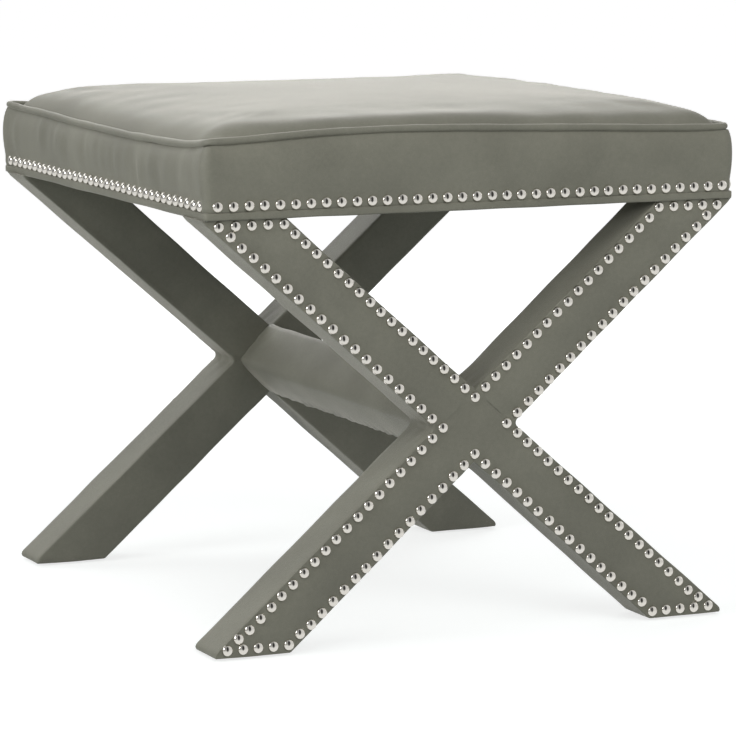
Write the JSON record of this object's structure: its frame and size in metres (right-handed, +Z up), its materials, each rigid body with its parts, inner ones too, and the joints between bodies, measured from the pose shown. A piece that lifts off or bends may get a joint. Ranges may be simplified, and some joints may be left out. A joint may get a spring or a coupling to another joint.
{
  "type": "upholstered ottoman",
  "caption": "Square upholstered ottoman with a crowned, piped seat on crossed X-frame legs joined by a padded stretcher, trimmed with rows of bright domed nails.",
  "frame": {"origin": "on the floor under the middle of the seat", "axes": "+Z up, X along the nailed front, Y from front to rear along the stretcher"},
  "size_m": [0.5468, 0.5588, 0.5008],
  "materials": {
    "upholstery": "matte",
    "nail_metal": "polished",
    "frame_wood": "matte",
    "plywood": "matte",
    "foam": "matte",
    "wadding": "matte",
    "screw_steel": "satin",
    "glide_plastic": "satin"
  },
  "bodies": {
    "root": {"base_panel": "plywood", "base_wrap": "upholstery", "corner_block_screws": "screw_steel", "deck_screws": "screw_steel", "foot_glides": "glide_plastic", "front_band": "upholstery", "front_left_corner_block": "frame_wood", "front_left_foot_patch": "upholstery", "front_left_leg": "frame_wood", "front_rail": "frame_wood", "front_right_corner_block": "frame_wood", "front_right_foot_patch": "upholstery", "front_right_leg": "frame_wood", "front_seat_nails": "nail_metal", "front_x_bottom_strip": "upholstery", "front_x_face_cover": "upholstery", "front_x_inner_cover": "upholstery", "front_x_left_strip": "upholstery", "front_x_nails": "nail_metal", "front_x_right_strip": "upholstery", "front_x_top_strip": "upholstery", "left_band": "upholstery", "left_rail": "frame_wood", "left_seat_nails": "nail_metal", "leg_top_screws": "screw_steel", "rail_dowels": "frame_wood", "rear_band": "upholstery", "rear_left_corner_block": "frame_wood", "rear_left_foot_patch": "upholstery", "rear_left_leg": "frame_wood", "rear_rail": "frame_wood", "rear_right_corner_block": "frame_wood", "rear_right_foot_patch": "upholstery", "rear_right_leg": "frame_wood", "rear_seat_nails": "nail_metal", "rear_x_bottom_strip": "upholstery", "rear_x_face_cover": "upholstery", "rear_x_inner_cover": "upholstery", "rear_x_left_strip": "upholstery", "rear_x_nails": "nail_metal", "rear_x_right_strip": "upholstery", "rear_x_top_strip": "upholstery", "right_band": "upholstery", "right_rail": "frame_wood", "right_seat_nails": "nail_metal", "seat_batting": "wadding", "seat_deck": "plywood", "seat_fixing_screws": "screw_steel", "seat_foam": "foam", "seat_top_cover": "upholstery", "side_padding": "wadding", "stretcher_bolts": "screw_steel", "stretcher_core": "frame_wood", "stretcher_cover": "upholstery", "stretcher_dowels": "frame_wood", "stretcher_inserts": "screw_steel", "top_welt": "upholstery"}
  },
  "joints": []
}
